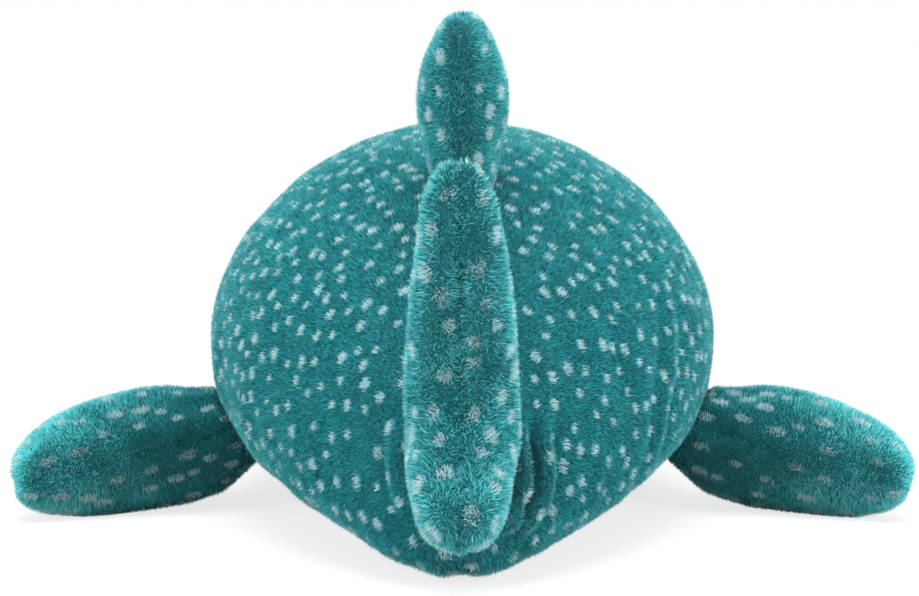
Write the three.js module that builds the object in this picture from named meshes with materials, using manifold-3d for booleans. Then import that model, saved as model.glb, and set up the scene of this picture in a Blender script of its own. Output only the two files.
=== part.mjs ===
// A stuffed toy whale shark. Plush panels are sewn into a body and four plump fins, each packed
// with fibre. The fins hang on their base seams, so they flop when they are pushed.
// Millimetres, +Z up, nose towards +Y. The origin is on the ground under the widest place.
import * as THREE from 'three';
import { mergeVertices } from 'three/addons/utils/BufferGeometryUtils.js';
import Module from 'manifold-3d';

const wasm = await Module();
wasm.setup();

// Cloth, filling and clearances
const SKIN = 3;
const FIN_SKIN = 2.5;
const GAP = 0.3;
const SEAM_SETBACK = 0.4;
const LARGEST_SETBACK_SHARE = 0.25;
const FILLING_EASE = 1.6;
const FIN_FILLING_EASE = 0.4;

// Body, widest at y = 0
const BODY_WIDTH = 245;
const BACK_HEIGHT = 184;
const FLANK_HEIGHT = 77;
const REAR_LENGTH = 262;
const HEAD_LENGTH = 190;
const TAIL_WIDTH = 100;
const TAIL_TOP = 80;
const TAIL_MIDDLE = 35;
const NOSE_MIDDLE = 66;
const BELLY_FLAT = 0.5;

// Body curves: powers of the sine of the polar angle, so 1 is an ellipse and less is blunter
const TAIL_END_POWER = 0.8;
const TAIL_SEAM_POWER = 0.12;
const TAPER_POWER = 2.2;
const RISE_POWER = 1.6;
const HEAD_POWER = 0.8;
const BACK_SECTION_POWER = 1.05;
const BELLY_SECTION_POWER = 0.84;

// Body seams: the belly panel spans this angle of the widest section and runs out to a point at
// these polar angles, short of the tail and of the nose
const BELLY_ANGLE = 66;
const BELLY_START = 20;
const BELLY_END = 170;
const BELLY_TAPER_POWER = 0.5;

// Pectoral fins
const PECTORAL_LENGTH = 102;
const PECTORAL_CHORD = 84;
const PECTORAL_TIP_CHORD = 58;
const PECTORAL_THICKNESS = 54;
const PECTORAL_BASE_RADIUS = 15.5;
const PECTORAL_BASE_POWER = 1;
const PECTORAL_SINK = 0.9;
const PECTORAL_SWEEP = 34;
const PECTORAL_POLAR = 81;
const PECTORAL_AROUND = 21;
const PECTORAL_DROOP = 12.5;

// Dorsal fin
const DORSAL_LENGTH = 85;
const DORSAL_CHORD = 94;
const DORSAL_TIP_CHORD = 46;
const DORSAL_THICKNESS = 40;
const DORSAL_BASE_RADIUS = 16;
const DORSAL_BASE_POWER = 0.72;
const DORSAL_SWEEP = 42;
const DORSAL_POLAR = 60;

// Tail fin: a crescent outline round a thickest place. Its points are given by how far they lie
// behind the seam and above the middle of the tail.
const TAIL_FIN_THICKNESS = 47;
const TAIL_FIN_TIP_THICKNESS = 32;
const THICKEST_BACK = 28;
const THICKEST_RISE = 30;
const ROOT_TOP_RISE = 48;
const ROOT_BOTTOM_RISE = 2;
const UPPER_TIP_BACK = 64;
const UPPER_TIP_RISE = 136;
const LOWER_TIP_BACK = 76;
const LOWER_TIP_RISE = 4;
const LOWER_EDGE_RISE = -8;
const NOTCH_BACK = 46;
const NOTCH_RISE = 40;
const LEADING_EDGE_BACK = 26;
const TRAILING_EDGE_BACK = 61;
const ROOT_FULLNESS = 2;
const TIP_FULLNESS = 5;

// Fin outlines: below 1 the base and tip are broader than an ellipse
const BASE_CHORD_POWER = 0.25;
const TIP_CHORD_POWER = 0.7;
const TIP_POWER = 1;

// Eyes: a domed head with a shank, held by a washer behind the skin
const EYE_DIAMETER = 15;
const EYE_HEIGHT = 6;
const EYE_POLAR = 122;
const EYE_AROUND = 12;
const SHANK_DIAMETER = 4.4;
const SHANK_LENGTH = 15;
const WASHER_DIAMETER = 17;
const WASHER_THICKNESS = 1.8;
const WASHER_DEPTH = 6;

// Mouth: a thick thread across the front of the head
const THREAD_DIAMETER = 3;
const MOUTH_SIDE_POLAR = 130;
const MOUTH_FRONT_POLAR = 164;
const MOUTH_AROUND = 12;
const MOUTH_STEPS = 24;

// Mesh divisions, the step of surface directions in radians and the weld distance
const BELLY_ROWS = 19;
const END_ROWS = 4;
const END_ROW_POWER = 3;
const BACK_COLUMNS = 10;
const BELLY_COLUMNS = 8;
const FIN_ROWS = 12;
const FIN_COLUMNS = 12;
const TAIL_FIN_ROWS = 8;
const TAIL_FIN_COLUMNS = 24;
const FILLING_ROWS = 18;
const FILLING_COLUMNS = 24;
const ROUND_SIDES = 20;
const DOME_STEPS = 8;
const THREAD_SEGMENTS = 4;
const STEP = 1e-4;
const WELD = 1e-4;

// Materials
const teal = new THREE.MeshStandardMaterial({ color: 0x1f8285, roughness: 0.95, metalness: 0 });
const cream = new THREE.MeshStandardMaterial({ color: 0xd9d6cc, roughness: 0.95, metalness: 0 });
const fibre = new THREE.MeshStandardMaterial({ color: 0xf2f1ec, roughness: 1, metalness: 0 });
const black = new THREE.MeshStandardMaterial({ color: 0x0b0b0c, roughness: 0.12, metalness: 0 });
const white = new THREE.MeshStandardMaterial({ color: 0xe6e6e2, roughness: 0.5, metalness: 0 });
const thread = new THREE.MeshStandardMaterial({ color: 0x0e3c40, roughness: 0.8, metalness: 0 });

const radians = THREE.MathUtils.degToRad;
const power = (base, exponent) => Math.sign(base) * Math.abs(base) ** exponent;

// A form is a drawn-out sphere: point(polar, around) gives its surface, polar from 0 at the start
// to PI at the end, and start and end are the outward directions at those two poles.
const body = {
  start: new THREE.Vector3(0, -1, 0),
  end: new THREE.Vector3(0, 1, 0),
  point(polar, around) {
    const along = Math.cos(polar);
    const swell = Math.max(Math.sin(polar), 0);
    const above = BACK_HEIGHT - FLANK_HEIGHT;
    let y = -REAR_LENGTH * along;
    let halfWidth = (TAIL_WIDTH / 2) * swell ** TAIL_END_POWER
      + ((BODY_WIDTH - TAIL_WIDTH) / 2) * swell ** TAPER_POWER;
    let middle = TAIL_MIDDLE + (FLANK_HEIGHT - TAIL_MIDDLE) * swell ** RISE_POWER;
    const seam = swell ** TAIL_SEAM_POWER;
    const stalk = TAIL_TOP - TAIL_MIDDLE;
    let up = (stalk + (above - stalk) * swell ** RISE_POWER) * seam;
    let down = (middle + BELLY_FLAT) * seam;
    if (along < 0) {
      y = HEAD_LENGTH * Math.abs(along) ** HEAD_POWER;
      halfWidth = (BODY_WIDTH / 2) * swell ** HEAD_POWER;
      middle = NOSE_MIDDLE + (FLANK_HEIGHT - NOSE_MIDDLE) * swell;
      up = above * swell ** HEAD_POWER;
      down = (FLANK_HEIGHT + BELLY_FLAT) * swell ** HEAD_POWER;
    }
    const section = Math.sin(around) > 0 ? BACK_SECTION_POWER : BELLY_SECTION_POWER;
    return new THREE.Vector3(
      halfWidth * power(Math.cos(around), section),
      y,
      middle + (Math.sin(around) > 0 ? up : down) * power(Math.sin(around), section),
    );
  },
};

// A paddle fin in its own frame: x through its thickness, y forward along its chord, z out along
// its length. The origin is the centre of its rounded base, which is also its hinge line.
function paddle(length, chord, tipChord, thickness, baseRadius, basePower, sweep) {
  return {
    start: new THREE.Vector3(0, 0, -1),
    end: new THREE.Vector3(0, 0, 1),
    point(polar, around) {
      const out = (1 - Math.cos(polar)) / 2;
      const swell = Math.max(Math.sin(polar), 0);
      const broad = swell ** THREE.MathUtils.lerp(BASE_CHORD_POWER, TIP_CHORD_POWER, out);
      const halfChord = (THREE.MathUtils.lerp(chord, tipChord, out) / 2) * broad;
      const plump = swell ** THREE.MathUtils.lerp(basePower, TIP_POWER, out);
      return new THREE.Vector3(
        (thickness / 2) * plump * Math.cos(around),
        -halfChord * Math.sin(around) - sweep * out * out,
        length * out - baseRadius,
      );
    },
  };
}

// The crescent tail fin in its own frame: x through its thickness, y forward, z up. It domes from
// its thickest place to its outline, pinched at the root and blunt at the tips.
const behind = (back, rise) => new THREE.Vector3(0, -back, rise);
const tailOutline = new THREE.CatmullRomCurve3([
  behind(UPPER_TIP_BACK, UPPER_TIP_RISE),
  behind(TRAILING_EDGE_BACK, (UPPER_TIP_RISE + NOTCH_RISE) / 2),
  behind(NOTCH_BACK, NOTCH_RISE),
  behind(LOWER_TIP_BACK, LOWER_TIP_RISE),
  behind((LOWER_TIP_BACK + THICKEST_BACK) / 2, LOWER_EDGE_RISE),
  behind(0, ROOT_BOTTOM_RISE),
  behind(0, ROOT_TOP_RISE),
  behind(LEADING_EDGE_BACK, (UPPER_TIP_RISE + ROOT_TOP_RISE) / 2),
], true);
const tailForm = {
  start: new THREE.Vector3(1, 0, 0),
  end: new THREE.Vector3(-1, 0, 0),
  point(polar, around) {
    const edge = tailOutline.getPoint((around / (2 * Math.PI)) % 1);
    const reach = Math.max(Math.sin(polar), 0);
    const back = THREE.MathUtils.clamp(-edge.y / UPPER_TIP_BACK, 0, 1);
    const fullness = THREE.MathUtils.lerp(ROOT_FULLNESS, TIP_FULLNESS, back);
    const dome = Math.max(1 - reach ** fullness, 0) ** (1 / fullness);
    const thickness = THREE.MathUtils.lerp(TAIL_FIN_THICKNESS, TAIL_FIN_TIP_THICKNESS, reach);
    const at = behind(THICKEST_BACK, THICKEST_RISE).lerp(edge, reach);
    at.x = (thickness / 2) * dome * Math.sign(Math.cos(polar));
    return at;
  },
};

// The outward direction of a form's surface
function outward(form, polar, around) {
  if (polar < STEP) {
    return form.start.clone();
  }
  if (polar > Math.PI - STEP) {
    return form.end.clone();
  }
  const along = form.point(polar + STEP, around).sub(form.point(polar - STEP, around));
  const round = form.point(polar, around + STEP).sub(form.point(polar, around - STEP));
  return along.cross(round).normalize();
}

// A point of a form's surface, moved in by a depth
function inset(form, polar, around, depth) {
  return form.point(polar, around).addScaledVector(outward(form, polar, around), -depth);
}

// Joins a geometry's shared vertices and drops the triangles that closed up at its poles
function welded(geometry) {
  geometry.deleteAttribute('normal');
  geometry.deleteAttribute('uv');
  const joined = mergeVertices(geometry, WELD);
  const corners = joined.index.array;
  const kept = [];
  for (let i = 0; i < corners.length; i += 3) {
    const [a, b, c] = corners.slice(i, i + 3);
    if (a !== b && b !== c && c !== a) {
      kept.push(a, b, c);
    }
  }
  joined.setIndex(kept);
  return joined;
}

// A curved panel of cloth on a form, with its rows at the given polar angles. Its edges run at the
// angles that from and to give for each row, and are drawn back from the seam.
function panel(form, from, to, wall, rows, columns) {
  const steps = rows.length - 1;
  const geometry = new THREE.BoxGeometry(1, 1, 1, steps, columns, 1);
  const place = geometry.attributes.position;
  for (let i = 0; i < place.count; i += 1) {
    const polar = rows[Math.round((place.getX(i) + 0.5) * steps)];
    const [first, last] = [from(polar), to(polar)];
    const radius = form.point(polar, first).distanceTo(form.point(polar, first + Math.PI)) / 2;
    const seam = Math.min(SEAM_SETBACK / radius, (last - first) * LARGEST_SETBACK_SHARE);
    const around = THREE.MathUtils.lerp(first + seam, last - seam, place.getY(i) + 0.5);
    const at = inset(form, polar, around, (0.5 - place.getZ(i)) * wall);
    place.setXYZ(i, at.x, at.y, at.z);
  }
  return welded(geometry);
}

// Angles in equal steps, or with a power in steps that grow
function spread(from, to, steps, growth = 1) {
  const share = (i) => (i / steps) ** growth;
  return Array.from({ length: steps + 1 }, (_, i) => THREE.MathUtils.lerp(from, to, share(i)));
}

// The filling of a form, a closed body that lies inside its skin
function filling(form, depth, rows, columns) {
  const geometry = new THREE.SphereGeometry(1, columns, rows);
  const place = geometry.attributes.position;
  const grid = geometry.attributes.uv;
  for (let i = 0; i < place.count; i += 1) {
    const row = Math.floor(i / (columns + 1));
    const polar = (row / rows) * Math.PI;
    const around = row % rows === 0 ? 0 : grid.getX(i) * 2 * Math.PI;
    const at = inset(form, polar, around, depth);
    place.setXYZ(i, at.x, at.y, at.z);
  }
  return welded(geometry);
}

// Boolean work on closed geometries
function solid(geometry) {
  const ready = geometry.attributes.normal ? welded(geometry) : geometry;
  return new wasm.Manifold(new wasm.Mesh({
    numProp: 3,
    vertProperties: Float32Array.from(ready.attributes.position.array),
    triVerts: Uint32Array.from(ready.index.array),
  }));
}

function cut(geometry, ...tools) {
  let left = solid(geometry);
  for (const tool of tools) {
    left = left.subtract(solid(tool));
  }
  const mesh = left.getMesh();
  const result = new THREE.BufferGeometry();
  result.setAttribute('position', new THREE.BufferAttribute(mesh.vertProperties, 3));
  result.setIndex(new THREE.BufferAttribute(mesh.triVerts, 1));
  return result;
}

const toy = new THREE.Group();

function addMesh(group, name, geometry, material) {
  const mesh = new THREE.Mesh(geometry, material);
  mesh.name = name;
  group.add(mesh);
}

// A group seated on the body: y along the skin towards the nose, z outwards, square to the skin
// unless another outward direction is given
function seat(polar, around, height, outwards) {
  const forward = body.point(polar + STEP, around).sub(body.point(polar - STEP, around)).normalize();
  const side = forward.clone().cross(outwards ?? outward(body, polar, around)).normalize();
  const group = new THREE.Group();
  const axes = new THREE.Matrix4().makeBasis(side, forward, side.clone().cross(forward));
  group.quaternion.setFromRotationMatrix(axes);
  group.position.copy(inset(body, polar, around, -height));
  group.updateMatrix();
  return group;
}

// One side of a fin's skin: a shell cut back from the seam plane x = 0
function halfSkin(form, side, rows, columns) {
  const across = 2 * BODY_WIDTH;
  const otherSide = new THREE.BoxGeometry(across, across, across);
  otherSide.translate(side * (SEAM_SETBACK - across / 2), 0, 0);
  const outside = filling(form, 0, rows, columns);
  return cut(outside, filling(form, FIN_SKIN, rows, columns), otherSide);
}

// The two skins and the filling of a fin
function addFin(group, name, form, [plusSide, minusSide], rows, columns) {
  addMesh(group, `${name}_${plusSide}_skin`, halfSkin(form, 1, rows, columns), teal);
  addMesh(group, `${name}_${minusSide}_skin`, halfSkin(form, -1, rows, columns), teal);
  addMesh(group, `${name}_filling`, filling(form, FIN_SKIN + FIN_FILLING_EASE, rows, columns), fibre);
  toy.add(group);
}

// Eyes: the seats of both, and what is cut for them in the skin and in the filling
const eyeSeats = {
  right: seat(radians(EYE_POLAR), radians(EYE_AROUND), GAP),
  left: seat(radians(EYE_POLAR), radians(180 - EYE_AROUND), GAP),
};

function shaft(group, diameter, top, bottom) {
  const geometry = new THREE.CylinderGeometry(diameter / 2, diameter / 2, top - bottom, ROUND_SIDES);
  geometry.rotateX(Math.PI / 2);
  geometry.translate(0, 0, (top + bottom) / 2);
  return geometry.applyMatrix4(group.matrix);
}

const shankHole = (group) =>
  shaft(group, SHANK_DIAMETER + 2 * GAP, EYE_HEIGHT, -SHANK_LENGTH - GAP);
const washerPocket = (group) =>
  shaft(group, WASHER_DIAMETER + 2 * GAP, EYE_HEIGHT, -WASHER_DEPTH - WASHER_THICKNESS - GAP);

function addEye(side) {
  const group = eyeSeats[side];
  const radius = EYE_DIAMETER / 2;
  const dome = new THREE.EllipseCurve(0, 0, radius, EYE_HEIGHT, 0, Math.PI / 2).getPoints(DOME_STEPS);
  const head = [
    new THREE.Vector2(0, -SHANK_LENGTH),
    new THREE.Vector2(SHANK_DIAMETER / 2, -SHANK_LENGTH),
    new THREE.Vector2(SHANK_DIAMETER / 2, 0),
    ...dome.slice(0, -1),
    new THREE.Vector2(0, EYE_HEIGHT),
  ];
  const eye = new THREE.LatheGeometry(head, ROUND_SIDES).rotateX(Math.PI / 2);
  addMesh(group, `${side}_eye`, welded(eye), black);

  const bore = SHANK_DIAMETER / 2 + GAP;
  const ring = [
    new THREE.Vector2(bore, -WASHER_DEPTH - WASHER_THICKNESS),
    new THREE.Vector2(WASHER_DIAMETER / 2, -WASHER_DEPTH - WASHER_THICKNESS),
    new THREE.Vector2(WASHER_DIAMETER / 2, -WASHER_DEPTH),
    new THREE.Vector2(bore, -WASHER_DEPTH),
    new THREE.Vector2(bore, -WASHER_DEPTH - WASHER_THICKNESS),
  ];
  const washer = new THREE.LatheGeometry(ring, ROUND_SIDES).rotateX(Math.PI / 2);
  addMesh(group, `${side}_eye_washer`, welded(washer), white);
  toy.add(group);
}

// Body: two back panels over one belly panel, and the filling inside
const ridge = radians(90);
const keel = radians(270);
const bellyStart = radians(BELLY_START);
const bellyEnd = radians(BELLY_END);
const bellyRows = spread(bellyStart, bellyEnd, BELLY_ROWS);
const backRows = [
  ...spread(0, bellyStart, END_ROWS, END_ROW_POWER).slice(0, -1), ...bellyRows,
  ...spread(Math.PI, bellyEnd, END_ROWS, END_ROW_POWER).reverse().slice(1),
];
const bellyHalf = (polar) => {
  const share = THREE.MathUtils.clamp((polar - bellyStart) / (bellyEnd - bellyStart), 0, 1);
  return radians(BELLY_ANGLE / 2) * Math.max(Math.sin(share * Math.PI), 0) ** BELLY_TAPER_POWER;
};
const bellyFrom = (polar) => keel - bellyHalf(polar);
const bellyTo = (polar) => keel + bellyHalf(polar);
const backFrom = (polar) => bellyTo(polar) - 2 * Math.PI;
const ground = new THREE.BoxGeometry(2 * BODY_WIDTH, 2 * (REAR_LENGTH + HEAD_LENGTH), BACK_HEIGHT);
ground.translate(0, 0, -BACK_HEIGHT / 2);

const rightBack = panel(body, backFrom, () => ridge, SKIN, backRows, BACK_COLUMNS);
const leftBack = panel(body, () => ridge, bellyFrom, SKIN, backRows, BACK_COLUMNS);
const belly = panel(body, bellyFrom, bellyTo, SKIN, bellyRows, BELLY_COLUMNS);
addMesh(toy, 'back_panel_right', cut(rightBack, shankHole(eyeSeats.right)), teal);
addMesh(toy, 'back_panel_left', cut(leftBack, shankHole(eyeSeats.left)), teal);
addMesh(toy, 'belly_panel', cut(belly, ground), cream);

const pockets = Object.values(eyeSeats).flatMap((group) => [shankHole(group), washerPocket(group)]);
const bodyFilling = filling(body, SKIN + FILLING_EASE, FILLING_ROWS, FILLING_COLUMNS);
addMesh(toy, 'body_filling', cut(bodyFilling, ...pockets), fibre);

addEye('right');
addEye('left');

// Mouth thread, laid on the skin from one side of the head round the front to the other
const mouthPoints = [];
for (let i = 0; i <= MOUTH_STEPS; i += 1) {
  const across = i / MOUTH_STEPS;
  const middle = Math.sin(across * Math.PI);
  const polar = THREE.MathUtils.lerp(MOUTH_SIDE_POLAR, MOUTH_FRONT_POLAR, middle);
  const around = THREE.MathUtils.lerp(MOUTH_AROUND, 180 - MOUTH_AROUND, across);
  mouthPoints.push(inset(body, radians(polar), radians(-around), -THREAD_DIAMETER / 2 - GAP));
}
const threadSection = new THREE.Shape().absarc(0, 0, THREAD_DIAMETER / 2, 0, 2 * Math.PI);
const mouth = new THREE.ExtrudeGeometry(threadSection, {
  steps: MOUTH_STEPS,
  curveSegments: THREAD_SEGMENTS,
  bevelEnabled: false,
  extrudePath: new THREE.CatmullRomCurve3(mouthPoints),
});
addMesh(toy, 'mouth_thread', welded(mouth), thread);

// Fins
const pectoral = paddle(
  PECTORAL_LENGTH, PECTORAL_CHORD, PECTORAL_TIP_CHORD, PECTORAL_THICKNESS,
  PECTORAL_BASE_RADIUS, PECTORAL_BASE_POWER, PECTORAL_SWEEP);
const pectoralHeight = PECTORAL_BASE_RADIUS - PECTORAL_SINK;
for (const [name, side, sides] of [
  ['right_pectoral', 1, ['lower', 'upper']],
  ['left_pectoral', -1, ['upper', 'lower']],
]) {
  const droop = radians(PECTORAL_DROOP);
  const around = radians(90 - side * (90 + PECTORAL_AROUND));
  const outwards = new THREE.Vector3(side * Math.cos(droop), 0, -Math.sin(droop));
  const group = seat(radians(PECTORAL_POLAR), around, pectoralHeight, outwards);
  addFin(group, name, pectoral, sides, FIN_ROWS, FIN_COLUMNS);
}

const dorsal = paddle(
  DORSAL_LENGTH, DORSAL_CHORD, DORSAL_TIP_CHORD, DORSAL_THICKNESS,
  DORSAL_BASE_RADIUS, DORSAL_BASE_POWER, DORSAL_SWEEP);
const dorsalSeat = seat(radians(DORSAL_POLAR), ridge, GAP + DORSAL_BASE_RADIUS);
addFin(dorsalSeat, 'dorsal', dorsal, ['right', 'left'], FIN_ROWS, FIN_COLUMNS);

const tailFront = Math.max(...tailOutline.getPoints(TAIL_FIN_COLUMNS).map((edge) => edge.y));
const tailSeat = new THREE.Group();
tailSeat.position.set(0, -REAR_LENGTH - GAP - tailFront, TAIL_MIDDLE);
addFin(tailSeat, 'tail', tailForm, ['right', 'left'], TAIL_FIN_ROWS, TAIL_FIN_COLUMNS);

export default toy;
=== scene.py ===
import math

import bmesh
import bpy
import numpy as np
from mathutils import Matrix, Vector
from mathutils.bvhtree import BVHTree
from mathutils.kdtree import KDTree


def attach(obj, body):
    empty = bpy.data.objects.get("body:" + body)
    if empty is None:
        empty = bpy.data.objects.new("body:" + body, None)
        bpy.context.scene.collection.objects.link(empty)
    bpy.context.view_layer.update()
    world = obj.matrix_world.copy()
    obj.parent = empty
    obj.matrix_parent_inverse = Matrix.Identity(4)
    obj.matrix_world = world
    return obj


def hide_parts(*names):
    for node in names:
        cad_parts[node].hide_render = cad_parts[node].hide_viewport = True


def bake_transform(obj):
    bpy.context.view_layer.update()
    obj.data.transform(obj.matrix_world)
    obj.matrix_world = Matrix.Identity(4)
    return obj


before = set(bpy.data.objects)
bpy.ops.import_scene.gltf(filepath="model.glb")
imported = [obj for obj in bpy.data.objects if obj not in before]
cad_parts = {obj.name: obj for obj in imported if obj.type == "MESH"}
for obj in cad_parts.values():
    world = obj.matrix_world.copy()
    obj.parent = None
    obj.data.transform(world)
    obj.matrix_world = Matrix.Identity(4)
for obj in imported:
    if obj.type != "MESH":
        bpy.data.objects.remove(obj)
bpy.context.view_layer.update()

scene = bpy.context.scene

# The view: straight behind the toy and a little above it, through a long lens.
# A pale floor runs out of sight and a white room lights the toy softly from all round.
IMAGE_WIDTH = 919
FOCAL_PIXELS = 2464
SENSOR_MM = 36
CAMERA_PLACE = (0.004, -1.205, 0.190)
CAMERA_DIP = 4.48
PRINCIPAL_OFFSET_PIXELS = 11.5
FLOOR_WHITE = (0.95, 0.95, 0.95, 1)
ROOM_STRENGTH = 0.5
FLOOR_NEAR = 0.45
FLOOR_FAR = 0.95
FLOOR_GLOW = 0.76
FLOOR_SIZE = 8
LAMP_AIM = Vector((0, -0.05, 0.07))

camera = bpy.data.objects.new("camera", bpy.data.cameras.new("camera"))
camera.location = CAMERA_PLACE
camera.rotation_euler = (math.radians(90 - CAMERA_DIP), 0, 0)
camera.data.sensor_width = SENSOR_MM
camera.data.lens = FOCAL_PIXELS / IMAGE_WIDTH * SENSOR_MM
camera.data.shift_x = -PRINCIPAL_OFFSET_PIXELS / IMAGE_WIDTH
scene.collection.objects.link(camera)
scene.camera = camera
scene.view_settings.view_transform = "Standard"


def seen_directly(tree):
    """1 for what the camera, a reflection or glass sees, 0 for what only lights the scene."""
    path = tree.nodes.new("ShaderNodeLightPath")
    first = tree.nodes.new("ShaderNodeMath")
    first.operation = "MAXIMUM"
    second = tree.nodes.new("ShaderNodeMath")
    second.operation = "MAXIMUM"
    tree.links.new(path.outputs["Is Camera Ray"], first.inputs[0])
    tree.links.new(path.outputs["Is Glossy Ray"], first.inputs[1])
    tree.links.new(first.outputs[0], second.inputs[0])
    tree.links.new(path.outputs["Is Transmission Ray"], second.inputs[1])
    return second.outputs[0]


world = bpy.data.worlds.new("white_room")
world.use_nodes = True
scene.world = world
room = world.node_tree
backdrop = room.nodes["Background"]
backdrop.inputs["Color"].default_value = (1, 1, 1, 1)
room_strength = room.nodes.new("ShaderNodeMapRange")
room_strength.inputs["To Min"].default_value = ROOM_STRENGTH
room_strength.inputs["To Max"].default_value = 1
room.links.new(seen_directly(room), room_strength.inputs["Value"])
room.links.new(room_strength.outputs["Result"], backdrop.inputs["Strength"])

SOFTBOXES = {
    "top_softbox": {"place": (0.0, -0.4, 1.6), "size": 1.3, "watts": 29},
    "left_softbox": {"place": (-1.3, -1.15, 0.45), "size": 1.0, "watts": 26},
    "right_softbox": {"place": (1.3, -1.15, 0.45), "size": 1.0, "watts": 26},
    "front_softbox": {"place": (0.3, 1.6, 1.1), "size": 1.5, "watts": 18},
}
for name, box in SOFTBOXES.items():
    lamp = bpy.data.objects.new(name, bpy.data.lights.new(name, "AREA"))
    lamp.data.shape = "DISK"
    lamp.data.size = box["size"]
    lamp.data.energy = box["watts"]
    lamp.location = box["place"]
    lamp.rotation_euler = (LAMP_AIM - lamp.location).to_track_quat("-Z", "Y").to_euler()
    scene.collection.objects.link(lamp)


def new_mesh_object(name, bm):
    """A new object at the origin from a bmesh, which is freed."""
    mesh = bpy.data.meshes.new(name)
    bm.to_mesh(mesh)
    bm.free()
    piece = bpy.data.objects.new(name, mesh)
    scene.collection.objects.link(piece)
    return piece


floor_bm = bmesh.new()
bmesh.ops.create_grid(floor_bm, x_segments=1, y_segments=1, size=FLOOR_SIZE)
floor = new_mesh_object("floor", floor_bm)
floor_paper = bpy.data.materials.new("floor_paper")
floor_paper.use_nodes = True
paper = floor_paper.node_tree
paper_matt = paper.nodes["Principled BSDF"]
paper_matt.inputs["Base Color"].default_value = FLOOR_WHITE
paper_matt.inputs["Roughness"].default_value = 1
paper_matt.inputs["Specular IOR Level"].default_value = 0
paper_place = paper.nodes.new("ShaderNodeTexCoord")
paper_distance = paper.nodes.new("ShaderNodeVectorMath")
paper_distance.operation = "LENGTH"
paper_fade = paper.nodes.new("ShaderNodeMapRange")
paper_fade.inputs["From Min"].default_value = FLOOR_NEAR
paper_fade.inputs["From Max"].default_value = FLOOR_FAR
paper_fade.inputs["To Min"].default_value = FLOOR_GLOW
paper_share = paper.nodes.new("ShaderNodeMath")
paper_share.operation = "MULTIPLY"
paper_white = paper.nodes.new("ShaderNodeEmission")
paper_mix = paper.nodes.new("ShaderNodeMixShader")
paper.links.new(paper_place.outputs["Object"], paper_distance.inputs[0])
paper.links.new(paper_distance.outputs["Value"], paper_fade.inputs["Value"])
paper.links.new(paper_fade.outputs["Result"], paper_share.inputs[0])
paper.links.new(seen_directly(paper), paper_share.inputs[1])
paper.links.new(paper_share.outputs[0], paper_mix.inputs["Fac"])
paper.links.new(paper_matt.outputs["BSDF"], paper_mix.inputs[1])
paper.links.new(paper_white.outputs["Emission"], paper_mix.inputs[2])
paper.links.new(paper_mix.outputs["Shader"], paper.nodes["Material Output"].inputs["Surface"])
floor.data.materials.append(floor_paper)

# The fibre filling: loose white polyester pushed by hand into the sewn body and the four fins.
# Each is a lumpy wad that lies well inside its cover and never shows.
BODY_WAD_SCALE = 0.92
FIN_WAD_SCALE = 0.76
WAD_LUMPS = 0.0012
WAD_LUMP_LENGTH = 0.03
FIBRE_GRAIN = 160
FIBRE_DETAIL = 6


def waves(places, length, seed, count=14):
    """Smooth random values from -1 to 1 over space, with lumps about that length in metres."""
    draw = np.random.default_rng(seed)
    directions = draw.normal(size=(count, 3))
    directions /= np.linalg.norm(directions, axis=1, keepdims=True)
    pitch = 2 * math.pi / length * draw.uniform(0.6, 1.4, (count, 1))
    phase = draw.uniform(0, 2 * math.pi, count)
    return np.sin(places @ (directions * pitch).T + phase).sum(1) / math.sqrt(count / 2) * 0.6


def merged_copy(node):
    """A bmesh of a CAD node with its loose triangles joined."""
    bm = bmesh.new()
    bm.from_mesh(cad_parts[node].data)
    bmesh.ops.remove_doubles(bm, verts=bm.verts, dist=1e-5)
    return bm


def mottled_material(name, dark, light, grain, roughness):
    """A material whose colour wavers over the surface between two tints."""
    material = bpy.data.materials.new(name)
    material.use_nodes = True
    tree = material.node_tree
    surface = tree.nodes["Principled BSDF"]
    place = tree.nodes.new("ShaderNodeTexCoord")
    noise = tree.nodes.new("ShaderNodeTexNoise")
    noise.inputs["Scale"].default_value = grain
    ramp = tree.nodes.new("ShaderNodeValToRGB")
    ramp.color_ramp.elements[0].color = dark
    ramp.color_ramp.elements[1].color = light
    tree.links.new(place.outputs["Object"], noise.inputs["Vector"])
    tree.links.new(noise.outputs["Fac"], ramp.inputs["Fac"])
    tree.links.new(ramp.outputs["Color"], surface.inputs["Base Color"])
    surface.inputs["Roughness"].default_value = roughness
    return material


fibre = mottled_material("polyester_fibre", (0.72, 0.71, 0.68, 1), (0.9, 0.9, 0.88, 1), FIBRE_GRAIN, 1)
fibre.node_tree.nodes["Noise Texture"].inputs["Detail"].default_value = FIBRE_DETAIL

WADS = {
    "body_filling": "body",
    "left_pectoral_filling": "left_pectoral",
    "right_pectoral_filling": "right_pectoral",
    "dorsal_filling": "dorsal_fin",
}


def finish_wad(wad, node, body):
    """The fibre of a wad, and what it stands for."""
    wad.data.materials.clear()
    wad.data.materials.append(fibre)
    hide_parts(node)
    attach(wad, body)


for node, body in WADS.items():
    wad_bm = merged_copy(node)
    bmesh.ops.subdivide_edges(wad_bm, edges=wad_bm.edges, cuts=1, use_grid_fill=True)
    wad_bm.normal_update()
    places = np.array([vertex.co for vertex in wad_bm.verts])
    middle = Vector(places.mean(0))
    scale = BODY_WAD_SCALE if body == "body" else FIN_WAD_SCALE
    for vertex, lump in zip(wad_bm.verts, waves(places, WAD_LUMP_LENGTH, 3)):
        vertex.co = middle + (vertex.co - middle) * scale + vertex.normal * WAD_LUMPS * lump
    finish_wad(new_mesh_object(node + "_wad", wad_bm), node, body)

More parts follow.
